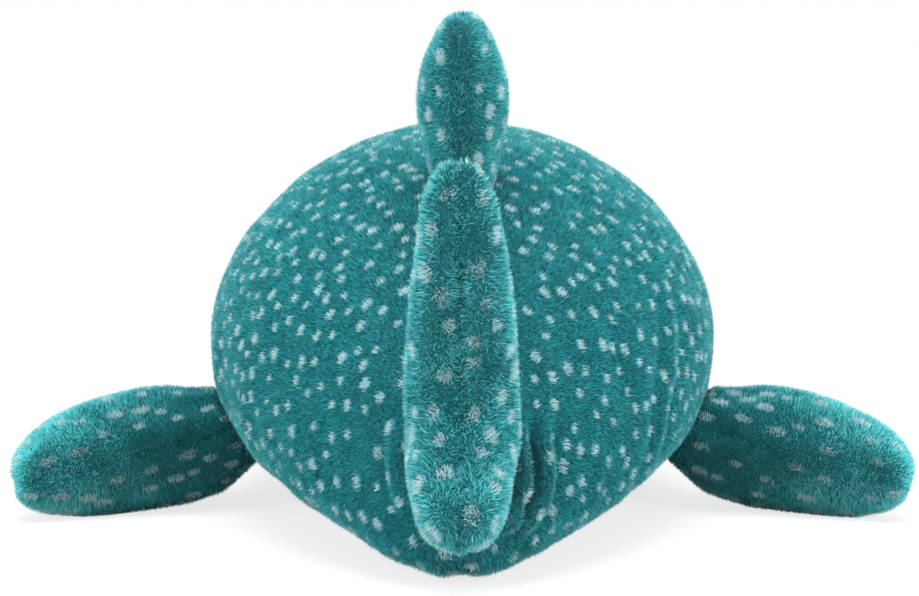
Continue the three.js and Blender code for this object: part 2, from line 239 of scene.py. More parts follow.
# The body cover: two teal back panels sewn along the ridge and to a pale belly panel, then turned
# and stuffed tight. The stuffing rounds it out and the seams draw in and pucker.
BODY = {
    "width": 0.245, "back": 0.184, "flank": 0.077, "rear": 0.262, "head": 0.190,
    "tail_width": 0.100, "tail_top": 0.080, "tail_middle": 0.035, "nose_middle": 0.066,
    "belly_flat": 0.0005,
}
BODY_PILE_DEPTH = 0.0018
BODY_RINGS = 104
BODY_SIDES = 160
BELLY_START = math.radians(28)
BELLY_END = math.radians(164)
BELLY_HALF = math.radians(33)
SEAM_WIDTH = 0.004
SEAM_DEPTH = 0.0018
SEAM_LEAST = 0.05
HEAD_POWER = 0.8
FLANK_POWER = 2.2
BACK_POWER = 1.6
UPPER_SECTION = 1.05
LOWER_SECTION = 0.84
REAR_TOP = {"fall": 0.12, "corner": 24, "rounding": 0.3}
REAR_BOTTOM = {"fall": 0.03, "corner": 36, "rounding": 0.4}
CLOTH = {
    "quality": 4, "mass": 0.3, "tension_stiffness": 18, "compression_stiffness": 18,
    "shear_stiffness": 8, "bending_stiffness": 0.6, "use_pressure": True,
    "vertex_group_shrink": "seam", "shrink_max": 0.12,
}
BODY_PRESSURE = 3
STUFFING_CAP = 0.002
STUFFING_FRAMES = 20
BODY_LUMPS = 0.0006
LUMP_LENGTH = 0.045
SMALL_LUMP_LENGTH = 0.02
FOLDS = [
    {"height": 0.0050, "width": 0.0036,
     "path": [(21, 30), (19, 22), (18.5, 8), (18.5, -4), (15, -15.5), (11, -24)]},
    {"height": 0.0042, "width": 0.0038,
     "path": [(27, 26), (24.5, 14), (24.5, 2), (24, -9), (21, -19), (15, -28)]},
    {"height": 0.0022, "width": 0.0055,
     "path": [(63, 26), (59, 13.5), (54.6, -1), (54, -19), (60, -38)]},
    {"height": 0.0026, "width": 0.0042,
     "path": [(22, 150), (20, 164), (19, 178), (16, 196)]},
]
FOLD_STEPS = 8
FOLD_NEAR = 0.12
FOLD_FADE = 0.6
HOLLOW_DEPTH = 0.6
HOLLOW_PLACE = 1.9
HOLLOW_NARROW = 1.5
BACKING_GRAIN = 900
BACKING_ROUGHNESS = 0.95


def power(base, exponent):
    """A power that keeps the sign of its base."""
    return math.copysign(abs(base) ** exponent, base)


def rear_end(along, swell, shape):
    """How the top or the bottom of the body draws in and rounds over at its rear end."""
    return swell ** shape["fall"] * max(1 - along ** shape["corner"], 0) ** shape["rounding"]


def body_point(polar, around):
    """The outside of the body: polar from the tail seam to the nose, around from the right flank."""
    along = math.cos(polar)
    swell = max(math.sin(polar), 0)
    above = BODY["back"] - BODY["flank"]
    if along < 0:
        y = BODY["head"] * abs(along) ** HEAD_POWER
        half_width = BODY["width"] / 2 * swell ** HEAD_POWER
        middle = BODY["nose_middle"] + (BODY["flank"] - BODY["nose_middle"]) * swell
        up = above * swell ** HEAD_POWER
        down = (BODY["flank"] + BODY["belly_flat"]) * swell ** HEAD_POWER
    else:
        y = -BODY["rear"] * along
        half_width = BODY["tail_width"] / 2 * swell ** HEAD_POWER
        half_width += (BODY["width"] - BODY["tail_width"]) / 2 * swell ** FLANK_POWER
        middle = BODY["tail_middle"] + (BODY["flank"] - BODY["tail_middle"]) * swell ** BACK_POWER
        stalk = BODY["tail_top"] - BODY["tail_middle"]
        up = (stalk + (above - stalk) * swell ** BACK_POWER) * rear_end(along, swell, REAR_TOP)
        down = (middle + BODY["belly_flat"]) * rear_end(along, swell, REAR_BOTTOM)
    rising = math.sin(around) > 0
    section = UPPER_SECTION if rising else LOWER_SECTION
    return Vector((
        half_width * power(math.cos(around), section),
        y,
        middle + (up if rising else down) * power(math.sin(around), section),
    ))


def body_outward(polar, around):
    """The outward direction of the body there."""
    step = 1e-3
    if polar < 10 * step:
        return Vector((0, -1, 0))
    if polar > math.pi - 10 * step:
        return Vector((0, 1, 0))
    along = body_point(polar + step, around) - body_point(polar - step, around)
    across = body_point(polar, around + step) - body_point(polar, around - step)
    return along.cross(across).normalized()


def belly_half(polar):
    """Half the angle that the belly panel spans at a ring of the body."""
    share = min(max((polar - BELLY_START) / (BELLY_END - BELLY_START), 0), 1)
    return BELLY_HALF * max(math.sin(share * math.pi), 0) ** 0.5


def array_of(items, kind, width):
    """One property of all vertices or loops of a mesh, as an array."""
    values = np.empty(len(items) * width)
    items.foreach_get(kind, values)
    return values.reshape(-1, width)


def move_vertices(cover, places):
    """Sets the places of all vertices of a piece."""
    cover.data.vertices.foreach_set("co", places.ravel())
    cover.data.update()


def mark_seam(cover, weights):
    """Keeps how much of a seam each vertex is, for the stuffing."""
    group = cover.vertex_groups.new(name="seam")
    for index, weight in enumerate(weights):
        if weight > SEAM_LEAST:
            group.add([index], weight, "REPLACE")


def stuff(cover, pressure):
    """Blows a sewn cover up as cloth, with its seams drawn in, and keeps the result."""
    start = array_of(cover.data.vertices, "co", 3)
    cloth = cover.modifiers.new("stuffing", "CLOTH").settings
    for setting, value in CLOTH.items():
        setattr(cloth, setting, value)
    cloth.uniform_pressure_force = pressure
    cloth.effector_weights.gravity = 0
    for step in range(1, STUFFING_FRAMES + 1):
        scene.frame_set(step)
    blown = cover.evaluated_get(bpy.context.evaluated_depsgraph_get()).to_mesh()
    move = array_of(blown.vertices, "co", 3) - start
    size = np.linalg.norm(move, axis=1, keepdims=True)
    move *= np.minimum(1, STUFFING_CAP / np.maximum(size, 1e-9))
    cover.modifiers.clear()
    move_vertices(cover, start + move)
    scene.frame_set(1)


def subdivide(cover, levels):
    """Replaces a piece's mesh by its smooth subdivision."""
    rounding = cover.modifiers.new("rounding", "SUBSURF")
    rounding.levels = levels
    rounding.render_levels = levels
    shown = cover.evaluated_get(bpy.context.evaluated_depsgraph_get())
    mesh = bpy.data.meshes.new_from_object(shown)
    cover.modifiers.clear()
    cover.data = mesh
    mesh.polygons.foreach_set("use_smooth", np.ones(len(mesh.polygons), bool))


def add_lumps(cover, size, seed):
    """The slight lumps of the filling under a stretched cover."""
    places = array_of(cover.data.vertices, "co", 3)
    normals = array_of(cover.data.vertices, "normal", 3)
    lumps = waves(places, LUMP_LENGTH, seed) + 0.5 * waves(places, SMALL_LUMP_LENGTH, seed + 1)
    move_vertices(cover, places + normals * (lumps * size)[:, None])


cover_bm = bmesh.new()
bmesh.ops.create_uvsphere(cover_bm, u_segments=BODY_SIDES, v_segments=BODY_RINGS, radius=1)
belly_layer = cover_bm.verts.layers.float.new("from_belly")
along_layer = cover_bm.verts.layers.float.new("along")
seam_weights = []
for vertex in cover_bm.verts:
    polar = math.acos(max(-1, min(1, vertex.co.z)))
    around = math.atan2(vertex.co.y, vertex.co.x)
    place = body_point(polar, around)
    from_keel = abs((around + math.pi / 2 + math.pi) % (2 * math.pi) - math.pi)
    reach = (body_point(polar, 0) - body_point(polar, math.pi)).length / 2
    to_belly_seam = abs(from_keel - belly_half(polar)) * reach
    to_ridge = abs(place.x) if around > 0 else 1
    vertex[belly_layer] = (from_keel - belly_half(polar)) * reach
    vertex[along_layer] = place.y
    if not BELLY_START < polar < BELLY_END:
        to_belly_seam = abs(place.x) if around < 0 else 1
    pull = max(math.exp(-(gap / SEAM_WIDTH) ** 2) for gap in (to_belly_seam, to_ridge))
    seam_weights.append(pull)
    vertex.co = place - body_outward(polar, around) * (BODY_PILE_DEPTH + SEAM_DEPTH * pull)
body_cover = new_mesh_object("body_cover", cover_bm)
mark_seam(body_cover, seam_weights)
stuff(body_cover, BODY_PRESSURE)
subdivide(body_cover, 1)
add_lumps(body_cover, BODY_LUMPS, 11)


def tree_of(cover):
    """The faces of a finished piece, for finding the nearest place on it."""
    places = [vertex.co for vertex in cover.data.vertices]
    return BVHTree.FromPolygons(places, [face.vertices for face in cover.data.polygons])


def add_fold(cover, fold):
    """A raised crease of loose cloth along a path on the body, with a hollow on its outer side."""
    corners = [body_point(math.radians(polar), math.radians(around)) for polar, around in fold["path"]]
    tree = tree_of(cover)
    path = []
    for first, second in zip(corners, corners[1:]):
        path += [tree.find_nearest(first.lerp(second, step / FOLD_STEPS))[0] for step in range(FOLD_STEPS)]
    path.append(tree.find_nearest(corners[-1])[0])
    path = np.array(path)
    places = array_of(cover.data.vertices, "co", 3)
    normals = array_of(cover.data.vertices, "normal", 3)
    near = np.flatnonzero(np.linalg.norm(places - path.mean(0), axis=1) < FOLD_NEAR)
    gaps = np.linalg.norm(places[near][:, None] - path[None], axis=2)
    closest = gaps.argmin(1)
    gap = gaps.min(1) / fold["width"]
    fade = np.sin(np.clip(closest / (len(path) - 1), 0, 1) * math.pi) ** FOLD_FADE
    hollow = HOLLOW_DEPTH * np.exp(-(gap - HOLLOW_PLACE) ** 2 * HOLLOW_NARROW)
    swell = fold["height"] * fade * (np.exp(-gap ** 2) - hollow)
    places[near] += normals[near] * swell[:, None]
    move_vertices(cover, places)


for fold in FOLDS:
    add_fold(body_cover, fold)
body_tree = tree_of(body_cover)


def backing_material(name, dark, light):
    """The knitted backing between the roots of the pile, darkened as painted shade."""
    return mottled_material(name, dark, light, BACKING_GRAIN, BACKING_ROUGHNESS)


# Both backings are the knit's own teal and cream, darkened to the fibre roots' colour as painted shade
# between the roots.
teal_backing = backing_material("teal_backing", (0.000, 0.070, 0.080, 1), (0.001, 0.120, 0.130, 1))
pale_backing = backing_material("pale_backing", (0.42, 0.40, 0.36, 1), (0.6, 0.58, 0.53, 1))
body_cover.data.materials.append(teal_backing)
body_cover.data.materials.append(pale_backing)
from_belly = array_of(body_cover.data.attributes["from_belly"].data, "value", 1)[:, 0]
for face in body_cover.data.polygons:
    face.material_index = 1 if from_belly[list(face.vertices)].mean() < 0 else 0
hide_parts("back_panel_left", "back_panel_right", "belly_panel")
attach(body_cover, "body")

# The eyes: glossy black domes of moulded plastic, each with a shank through the cover and a white
# locking washer pressed on behind it, inside the filling.
EYE_RADIUS = 0.0075
EYE_HEIGHT = 0.006
EYE_POLAR = math.radians(122)
EYE_AROUND = math.radians(12)
EYE_SINK = 0.0016
EYE_RIM = 0.0004
EYE_BACK_RADIUS = EYE_RADIUS * 0.94
EYE_GRAIN = 400
EYE_POLISHED = 0.05
EYE_DULL = 0.16
WASHER_GRAIN = 300
WASHER_ROUGHNESS = 0.5
SHANK_RADIUS = 0.002
SHANK_LENGTH = 0.010
DOME_STEPS = 14
EYE_SIDES = 40

eye_plastic = mottled_material("eye_plastic", (0.003, 0.003, 0.004, 1), (0.008, 0.007, 0.007, 1),
                               EYE_GRAIN, EYE_POLISHED)
eye_tree = eye_plastic.node_tree
eye_wear = eye_tree.nodes.new("ShaderNodeMapRange")
eye_wear.inputs["To Min"].default_value = EYE_POLISHED
eye_wear.inputs["To Max"].default_value = EYE_DULL
eye_tree.links.new(eye_tree.nodes["Noise Texture"].outputs["Fac"], eye_wear.inputs["Value"])
eye_tree.links.new(eye_wear.outputs["Result"], eye_tree.nodes["Principled BSDF"].inputs["Roughness"])
washer_plastic = mottled_material("washer_plastic", (0.72, 0.72, 0.70, 1), (0.82, 0.82, 0.80, 1),
                                  WASHER_GRAIN, WASHER_ROUGHNESS)

eye_places = []
for side, around in (("right", EYE_AROUND), ("left", math.pi - EYE_AROUND)):
    outward = body_outward(EYE_POLAR, around)
    seat = body_point(EYE_POLAR, around) - outward * EYE_SINK
    eye_places.append(np.array(seat))
    profile = [(0, -SHANK_LENGTH), (SHANK_RADIUS, -SHANK_LENGTH), (SHANK_RADIUS, 0), (EYE_BACK_RADIUS, 0)]
    for step in range(DOME_STEPS + 1):
        rise = step / DOME_STEPS * math.pi / 2
        height = EYE_RIM + (EYE_HEIGHT - EYE_RIM) * math.sin(rise)
        profile.append((EYE_RADIUS * math.cos(rise), height))
    eye_bm = bmesh.new()
    corners = [eye_bm.verts.new((radius, 0, height)) for radius, height in profile]
    edges = [eye_bm.edges.new(pair) for pair in zip(corners, corners[1:])]
    bmesh.ops.spin(eye_bm, geom=corners + edges, cent=(0, 0, 0), axis=(0, 0, 1), angle=2 * math.pi,
                   steps=EYE_SIDES, use_merge=True)
    bmesh.ops.remove_doubles(eye_bm, verts=eye_bm.verts, dist=1e-6)
    bmesh.ops.recalc_face_normals(eye_bm, faces=eye_bm.faces)
    turn = outward.to_track_quat("Z", "Y").to_matrix().to_4x4()
    eye_bm.transform(Matrix.Translation(seat) @ turn)
    eye = new_mesh_object(side + "_eye_dome", eye_bm)
    for face in eye.data.polygons:
        face.use_smooth = True
    eye.data.materials.append(eye_plastic)
    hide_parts(side + "_eye")
    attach(eye, "body")
    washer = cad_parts[side + "_eye_washer"]
    washer.data.materials.clear()
    washer.data.materials.append(washer_plastic)

# The mouth: a thick dark thread of two twisted plies, sewn down in one line round the front of the head.
# It presses the pile flat beside it.
MOUTH_SIDE_POLAR = math.radians(130)
MOUTH_FRONT_POLAR = math.radians(164)
MOUTH_AROUND = math.radians(12)
MOUTH_RINGS = 260
PLY_RADIUS = 0.0009
PLY_OFFSET = 0.0007
PLY_TURNS = 34
PLY_SIDES = 8
MOUTH_RISE = 0.0011

mouth_places = []
mouth_normals = []
for ring in range(MOUTH_RINGS + 1):
    across = ring / MOUTH_RINGS
    polar = MOUTH_SIDE_POLAR + (MOUTH_FRONT_POLAR - MOUTH_SIDE_POLAR) * math.sin(across * math.pi)
    around = -(MOUTH_AROUND + (math.pi - 2 * MOUTH_AROUND) * across)
    place, normal, _, _ = body_tree.find_nearest(body_point(polar, around))
    mouth_places.append(place + normal * MOUTH_RISE)
    mouth_normals.append(normal)

mouth_bm = bmesh.new()
for ply in range(2):
    rings = []
    for ring in range(MOUTH_RINGS + 1):
        ahead = mouth_places[min(ring + 1, MOUTH_RINGS)] - mouth_places[max(ring - 1, 0)]
        ahead.normalize()
        aside = ahead.cross(mouth_normals[ring]).normalized()
        above = aside.cross(ahead)
        turn = (ring / MOUTH_RINGS * PLY_TURNS + ply / 2) * 2 * math.pi
        middle = mouth_places[ring] + (aside * math.cos(turn) + above * math.sin(turn)) * PLY_OFFSET
        corners = []
        for corner in range(PLY_SIDES):
            angle = corner / PLY_SIDES * 2 * math.pi
            off = (aside * math.cos(angle) + above * math.sin(angle)) * PLY_RADIUS
            corners.append(mouth_bm.verts.new(middle + off))
        rings.append(corners)
    for first, second in zip(rings, rings[1:]):
        for corner in range(PLY_SIDES):
            beside = (corner + 1) % PLY_SIDES
            mouth_bm.faces.new((first[corner], first[beside], second[beside], second[corner]))
    mouth_bm.faces.new(list(reversed(rings[0])))
    mouth_bm.faces.new(rings[-1])
bmesh.ops.recalc_face_normals(mouth_bm, faces=mouth_bm.faces)
mouth = new_mesh_object("mouth_ply", mouth_bm)
for face in mouth.data.polygons:
    face.use_smooth = True
thread = backing_material("thread", (0.008, 0.035, 0.04, 1), (0.02, 0.07, 0.075, 1))
mouth.data.materials.append(thread)
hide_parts("mouth_thread")
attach(mouth, "body")

# The pile: short dense plush fibres knitted into the cover, teal with printed pale spots, and cream
# on the belly. On the body it lies down and back from the ridge, and it parts at the seams.
# Each tone runs from a dark root colour, painted shade between the fibres, to a paler tip colour, painted
# sheen.
PILE_TONES = [
    (0.00, (0.000, 0.040, 0.052, 1), (0.018, 0.410, 0.445, 1)),
    (0.35, (0.000, 0.078, 0.096, 1), (0.052, 0.640, 0.675, 1)),
    (0.52, (0.001, 0.140, 0.160, 1), (0.110, 0.770, 0.800, 1)),
    (0.66, (0.050, 0.460, 0.480, 1), (0.320, 0.900, 0.910, 1)),
    (0.74, (0.15, 0.36, 0.39, 1), (0.46, 0.66, 0.68, 1)),
    (1.00, (0.28, 0.48, 0.50, 1), (0.70, 0.83, 0.84, 1)),
]
CREAM_TONES = [
    (0.0, (0.46, 0.44, 0.39, 1), (0.66, 0.64, 0.59, 1)),
    (1.0, (0.58, 0.56, 0.51, 1), (0.80, 0.78, 0.73, 1)),
]
STRAND_CORNERS = 6
STRANDS_MOST = 28
STRAND_THICKNESS = 0.00006
STRAND_ROUNDING = 4
# How quickly the painted shade at the root gives way to the painted sheen at the tip along each fibre.
TIP_POWER = 2.8
SPOT_FILL = 1.7
SPOT_SHELL = 0.006
SPOT_TRIES = 7
EYE_CLEAR = 0.0066
EYE_PRESSED = 0.010
MOUTH_PRESSED = 0.0035
MOUTH_BACK = 0.12
SPOT_RAGGED = 0.16
TURN_BROAD = 0.22
TURN_FINE = 0.30
TURN_SPREAD = 0.9
LIFT_SPREAD = 0.16
LENGTH_SPREAD = 0.16
TONE_SPREAD = 0.15
TONE_PATCHES = 0.08
TONE_LAST = 0.64
SPOT_TONE = 0.88
SPOT_TONE_SPREAD = 0.06


def pile_material(name, tones, sheen):
    """Fibres that are darker at the root, as painted shade between the fibres, and paler at the tip, as
    painted sheen. Their map gives the tone across and the root to tip up.
    """
    plush = bpy.data.materials.new(name)
    plush.use_nodes = True
    tree = plush.node_tree
    matt = tree.nodes["Principled BSDF"]
    strand_map = tree.nodes.new("ShaderNodeUVMap")
    strand_map.uv_map = "OFBake"
    split = tree.nodes.new("ShaderNodeSeparateXYZ")
    tree.links.new(strand_map.outputs["UV"], split.inputs["Vector"])
    ramps = []
    for end in (1, 2):
        ramp = tree.nodes.new("ShaderNodeValToRGB")
        stops = ramp.color_ramp.elements
        while len(stops) < len(tones):
            stops.new(0.5)
        for stop, tone in zip(stops, tones):
            stop.position = tone[0]
            stop.color = tone[end]
        tree.links.new(split.outputs["X"], ramp.inputs["Fac"])
        ramps.append(ramp)
    mix = tree.nodes.new("ShaderNodeMix")
    mix.data_type = "RGBA"
    reach = tree.nodes.new("ShaderNodeMath")
    reach.operation = "POWER"
    reach.inputs[1].default_value = TIP_POWER
    tree.links.new(split.outputs["Y"], reach.inputs[0])
    tree.links.new(reach.outputs[0], mix.inputs["Factor"])
    tree.links.new(ramps[0].outputs["Color"], mix.inputs["A"])
    tree.links.new(ramps[1].outputs["Color"], mix.inputs["B"])
    tree.links.new(mix.outputs["Result"], matt.inputs["Base Color"])
    matt.inputs["Roughness"].default_value = 0.8
    matt.inputs["Specular IOR Level"].default_value = 0.02
    matt.inputs["Sheen Weight"].default_value = 0.65
    matt.inputs["Sheen Roughness"].default_value = 0.3
    matt.inputs["Sheen Tint"].default_value = sheen
    return plush


teal_pile = pile_material("teal_pile", PILE_TONES, (0.75, 1, 1, 1))
cream_pile = pile_material("cream_pile", CREAM_TONES, (1, 0.98, 0.94, 1))


def unit(vectors):
    """Vectors of length 1."""
    return vectors / np.maximum(np.linalg.norm(vectors, axis=1, keepdims=True), 1e-9)


class Surface:
    """The triangles of a finished cover, for growing pile on it."""

    def __init__(self, cover):
        mesh = cover.data
        mesh.calc_loop_triangles()
        self.places = array_of(mesh.vertices, "co", 3)
        self.normals = array_of(mesh.vertices, "normal", 3)
        self.corners = array_of(mesh.loop_triangles, "vertices", 3).astype(int)
        self.edge = np.ones(len(mesh.vertices))
        if "from_belly" in mesh.attributes:
            self.edge = array_of(mesh.attributes["from_belly"].data, "value", 1)[:, 0]
        a, b, c = (self.places[self.corners[:, i]] for i in range(3))
        self.areas = np.linalg.norm(np.cross(b - a, c - a), axis=1) / 2
        self.centres = (a + b + c) / 3

    def points(self, triangles, first, second):
        """Points on those triangles by two random numbers each, the normals and how far from the belly."""
        first = np.sqrt(first)
        weights = np.stack([1 - first, first * (1 - second), first * second], 1)[:, :, None]
        corners = self.corners[triangles]
        places = (self.places[corners] * weights).sum(1)
        edge = (self.edge[corners] * weights[:, :, 0]).sum(1)
        return places, unit((self.normals[corners] * weights).sum(1)), edge


def spot_middles(cover, printed, spacing, seed):
    """Middles of spots about the spacing apart: random places near a cover, moved onto it."""
    draw = np.random.default_rng(seed)
    tree = tree_of(cover)
    places = array_of(cover.data.vertices, "co", 3)
    low, high = places.min(0) - SPOT_SHELL, places.max(0) + SPOT_SHELL
    count = int(np.prod(high - low) / (2 * SPOT_SHELL) / spacing ** 2 * SPOT_TRIES)
    chosen = np.full((1, 3), 9.0)
    for row in draw.random((count, 4)):
        gap = spacing * (0.72 + 0.53 * row[3])
        place, _, face, _ = tree.find_nearest(Vector(low + (high - low) * row[:3]), SPOT_SHELL)
        if place is None or not printed(place, cover.data.polygons[face]):
            continue
        if np.linalg.norm(chosen - np.array(place), axis=1).min() > gap:
            chosen = np.vstack([chosen, np.array(place)])
    return chosen[1:]


def spot_edge(roots, lay, look, seed):
    """How far each root is from the middle of its nearest spot, where 1 is the spot's edge."""
    tree = KDTree(len(look["spots"]))
    for index, place in enumerate(look["spots"]):
        tree.insert(place, index)
    tree.balance()
    nearest = np.array([tree.find(place)[1] for place in roots])
    off = roots - look["spots"][nearest]
    draw = np.random.default_rng(seed)
    sizes = draw.uniform(0.75, 1.25, len(look["spots"]))[nearest]
    along = (off * lay).sum(1)
    aside = np.sqrt(np.maximum((off ** 2).sum(1) - along ** 2, 0))
    return np.hypot(along / look["spot_length"], aside / look["spot_width"]) / sizes


def grow_pile(name, surface, triangles, flow, look, seed):
    """Plush fibres on part of a cover, as narrow blades that lean along the flow."""
    draw = np.random.default_rng(seed)
    wanted = surface.areas[triangles] * look["density"] * SPOT_FILL + draw.random(len(triangles))
    grown = np.arange(1, STRANDS_MOST + 1) <= wanted[:, None]
    chance = draw.random((5,) + grown.shape)[:, grown]
    spread = draw.normal(0, 1, (6,) + grown.shape)[:, grown]
    roots, normals, edge = surface.points(np.repeat(triangles, grown.sum(1)), chance[0], chance[1])
    straight = flow(roots, normals)
    straight = unit(straight - normals * (straight * normals).sum(1, keepdims=True))
    spotted = np.zeros(len(roots), bool)
    if "spots" in look:
        spotted = spot_edge(roots, straight, look, 5) + SPOT_RAGGED * spread[0] < 1
    trim = look["trim"](roots)
    kept = (spotted | (chance[2] < 1 / SPOT_FILL)) & (trim > 0) & ((edge > 0) == look["teal"])
    roots, normals, straight = roots[kept], normals[kept], straight[kept]
    spotted, trim = spotted[kept], trim[kept]
    chance, spread = chance[:, kept], spread[:, kept]
    count = len(roots)
    turn = TURN_BROAD * waves(roots, 0.05, seed + 1) + TURN_FINE * waves(roots, 0.006, seed + 2)
    turn = (turn + TURN_SPREAD * spread[1])[:, None]
    lay = straight * np.cos(turn) + np.cross(straight, normals) * np.sin(turn)
    across = np.cross(lay, normals)
    lift = look["lift"] + LIFT_SPREAD * (waves(roots, 0.005, seed + 3) + spread[2])
    lift = np.clip(lift * np.sqrt(trim), 0.1, 1.5)[:, None]
    length = look["length"] * np.clip(1 + LENGTH_SPREAD * spread[3], 0.5, 1.5) * trim
    lean = normals * np.sin(lift) + lay * np.cos(lift)
    roll = (chance[3] - 0.5)[:, None] * math.pi
    wide = across * np.cos(roll) + np.cross(across, lean) * np.sin(roll)
    facing = unit(np.cross(wide, lean))
    tone = look["tone"](roots) + TONE_SPREAD * spread[4] + TONE_PATCHES * waves(roots, 0.02, seed + 4)
    spot_tone = np.clip(SPOT_TONE + SPOT_TONE_SPREAD * spread[5], 0.76, 0.98)
    tone = np.where(spotted, spot_tone, np.clip(tone, 0.02, TONE_LAST))
    wide *= (look["width"] * (0.7 + 0.6 * chance[4]) / 2)[:, None]
    tips = roots + lean * length[:, None]
    under = facing * STRAND_THICKNESS
    points = np.stack([roots - wide, roots + wide, tips,
                       roots + wide - under, roots - wide - under, tips - under], 1)
    tilt = np.abs((normals * facing).sum(1, keepdims=True))
    upright = normals * np.minimum(STRAND_ROUNDING, 0.9 / np.maximum(tilt, 0.05))
    outer = unit(upright + facing)[:, None]
    inner = unit(upright - facing)[:, None]
    shade = np.concatenate([outer, outer, outer, inner, inner, inner], 1)

    mesh = bpy.data.meshes.new(name)
    mesh.vertices.add(STRAND_CORNERS * count)
    mesh.vertices.foreach_set("co", points.ravel())
    mesh.loops.add(STRAND_CORNERS * count)
    mesh.loops.foreach_set("vertex_index", np.arange(STRAND_CORNERS * count, dtype=np.int32))
    mesh.polygons.add(2 * count)
    mesh.polygons.foreach_set("loop_start", np.arange(2 * count, dtype=np.int32) * 3)
    strand_map = mesh.uv_layers.new(name="OFBake")
    side = np.array([-0.008, 0.008, 0, 0.008, -0.008, 0])
    height = np.broadcast_to(np.array([0.02, 0.02, 0.98, 0.02, 0.02, 0.98]), (count, STRAND_CORNERS))
    places = np.stack([tone[:, None] + side, height], 2)
    strand_map.data.foreach_set("uv", np.clip(places, 0.005, 0.995).astype(np.float32).ravel())
    mesh.update(calc_edges=True)
    mesh.normals_split_custom_set_from_vertices(shade.reshape(-1, 3))
    pile = bpy.data.objects.new(name, mesh)
    scene.collection.objects.link(pile)
    mesh.materials.append(look["material"])
    return pile


def body_lay(places, normals):
    """Down from the ridge and a little back."""
    side = np.where(places[:, :1] < 0, -1.0, 1.0)
    down = np.stack([normals[:, 2], np.zeros(len(places)), -normals[:, 0]], 1) * side
    return down + np.array([0, -0.12, 0])


def belly_lay(places, normals):
    """Straight back."""
    return np.broadcast_to(np.array([0.0, -1.0, 0.0]), places.shape)


def face_trim(places):
    """How long the pile stands: none under the eyes, and short beside them and along the mouth."""
    trim = np.ones(len(places))
    for eye in eye_places:
        gap = np.linalg.norm(places - eye, axis=1)
        trim = np.minimum(trim, np.clip((gap - EYE_CLEAR) / (EYE_PRESSED - EYE_CLEAR) + 0.35, 0, 1))
        trim[gap < EYE_CLEAR] = 0
    front = np.flatnonzero(places[:, 1] > MOUTH_BACK)
    path = np.array(mouth_places[::4])
    for start in range(0, len(front), 20000):
        part = front[start:start + 20000]
        gap = np.linalg.norm(places[part][:, None] - path[None], axis=2).min(1)
        trim[part] = np.minimum(trim[part], np.clip(gap / MOUTH_PRESSED, 0.3, 1))
    return trim


def even_tone(level):
    """The same middle tone everywhere."""
    return lambda places: level


# The same teal pile gets a different middle tone on each piece as painted light: darkest on the body, lighter
# on the pectorals, the dorsal and the tail, to even out how the lamps reach each.
BODY_LOOK = {
    "material": teal_pile, "teal": True, "density": 2.55e6,
    "length": 0.0024, "width": 0.00042, "lift": math.radians(76),
    "spot_length": 0.0022, "spot_width": 0.0017, "trim": face_trim, "tone": even_tone(0.16),
}
BELLY_LOOK = {
    "material": cream_pile, "teal": False, "density": 1.5e6,
    "length": 0.0026, "width": 0.00050, "lift": math.radians(42),
    "trim": face_trim, "tone": even_tone(0.20),
}
BODY_SPACING = 0.0106
BODY_BANDS = (-1, -0.165, -0.10, -0.045, 0.01, 0.065, 1)
body_surface = Surface(body_cover)
along = array_of(body_cover.data.attributes["along"].data, "value", 1)[body_surface.corners, 0].mean(1)
edges = body_surface.edge[body_surface.corners]
teal = edges.max(1) > 0
BODY_LOOK["spots"] = spot_middles(body_cover, lambda place, face: face.material_index == 0,
                                  BODY_SPACING, 21)
for side, chosen in (("left", body_surface.centres[:, 0] < 0), ("right", body_surface.centres[:, 0] >= 0)):
    for band, (back, front) in enumerate(zip(BODY_BANDS, BODY_BANDS[1:])):
        inside = (along >= back) & (along < front)
        part = np.flatnonzero(chosen & teal & inside)
        seed = 100 + 10 * band + (0 if side == "left" else 50)
        pile = grow_pile(f"back_{side}_pile_{band}", body_surface, part, body_lay, BODY_LOOK, seed)
        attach(pile, "body")
cream = np.flatnonzero(edges.min(1) < 0)
belly_pile = grow_pile("belly_pile", body_surface, cream, belly_lay, BELLY_LOOK, 190)
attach(belly_pile, "body")

# The fins: each is two skins sewn edge to edge, turned, stuffed and sewn to the body at its base.
# The seam runs round the rim of the fin as a crease, and the pile lies from base to tip.
FIN_PILE_DEPTH = 0.0022
FIN_RINGS = 40
FIN_SIDES = 64
FIN_SWELL = 0.002
FIN_SEAM_WIDTH = 0.003
FIN_CLEARANCE = 0.0006
FIN_PRESSURE = 2
FIN_LUMPS = 0.0005
BARE_GAP = 0.0012
FULL_GAP = 0.004
SETTLE_FAR = 6
BASE_REACH = 0.012
BASE_PRESSED = 0.016
BASE_CHORD_POWER = 0.25
TIP_CHORD_POWER = 0.7
GATHERS = 9
GATHER_DEPTH = 0.0016
GATHER_REACH = 0.022
# The dorsal's tone here is set lighter than the body's as painted light.
FIN_LOOK = {
    "material": teal_pile, "teal": True, "density": 2.9e6,
    "length": 0.0024, "width": 0.00042, "lift": math.radians(76),
    "spot_length": 0.0030, "spot_width": 0.0021, "from_seam": 0.0045, "tone": even_tone(0.36),
}
PECTORAL = {
    "length": 0.104, "chord": 0.084, "tip_chord": 0.058, "thickness": 0.0565, "base_radius": 0.0155,
    "sweep": 0.034, "base_power": 0.30, "tip_power": 0.75, "base_drop": 0.007, "base_flare": 0.22, "taper": 0,
    "seam_depth": 0.0014,
}
# The pectoral pile turns paler out towards the tips: painted light, for the side light and sheen there.
PALE_START = 0.128
PALE_RUN = 0.050
TIP_PAINTED_LIGHT = 0.46
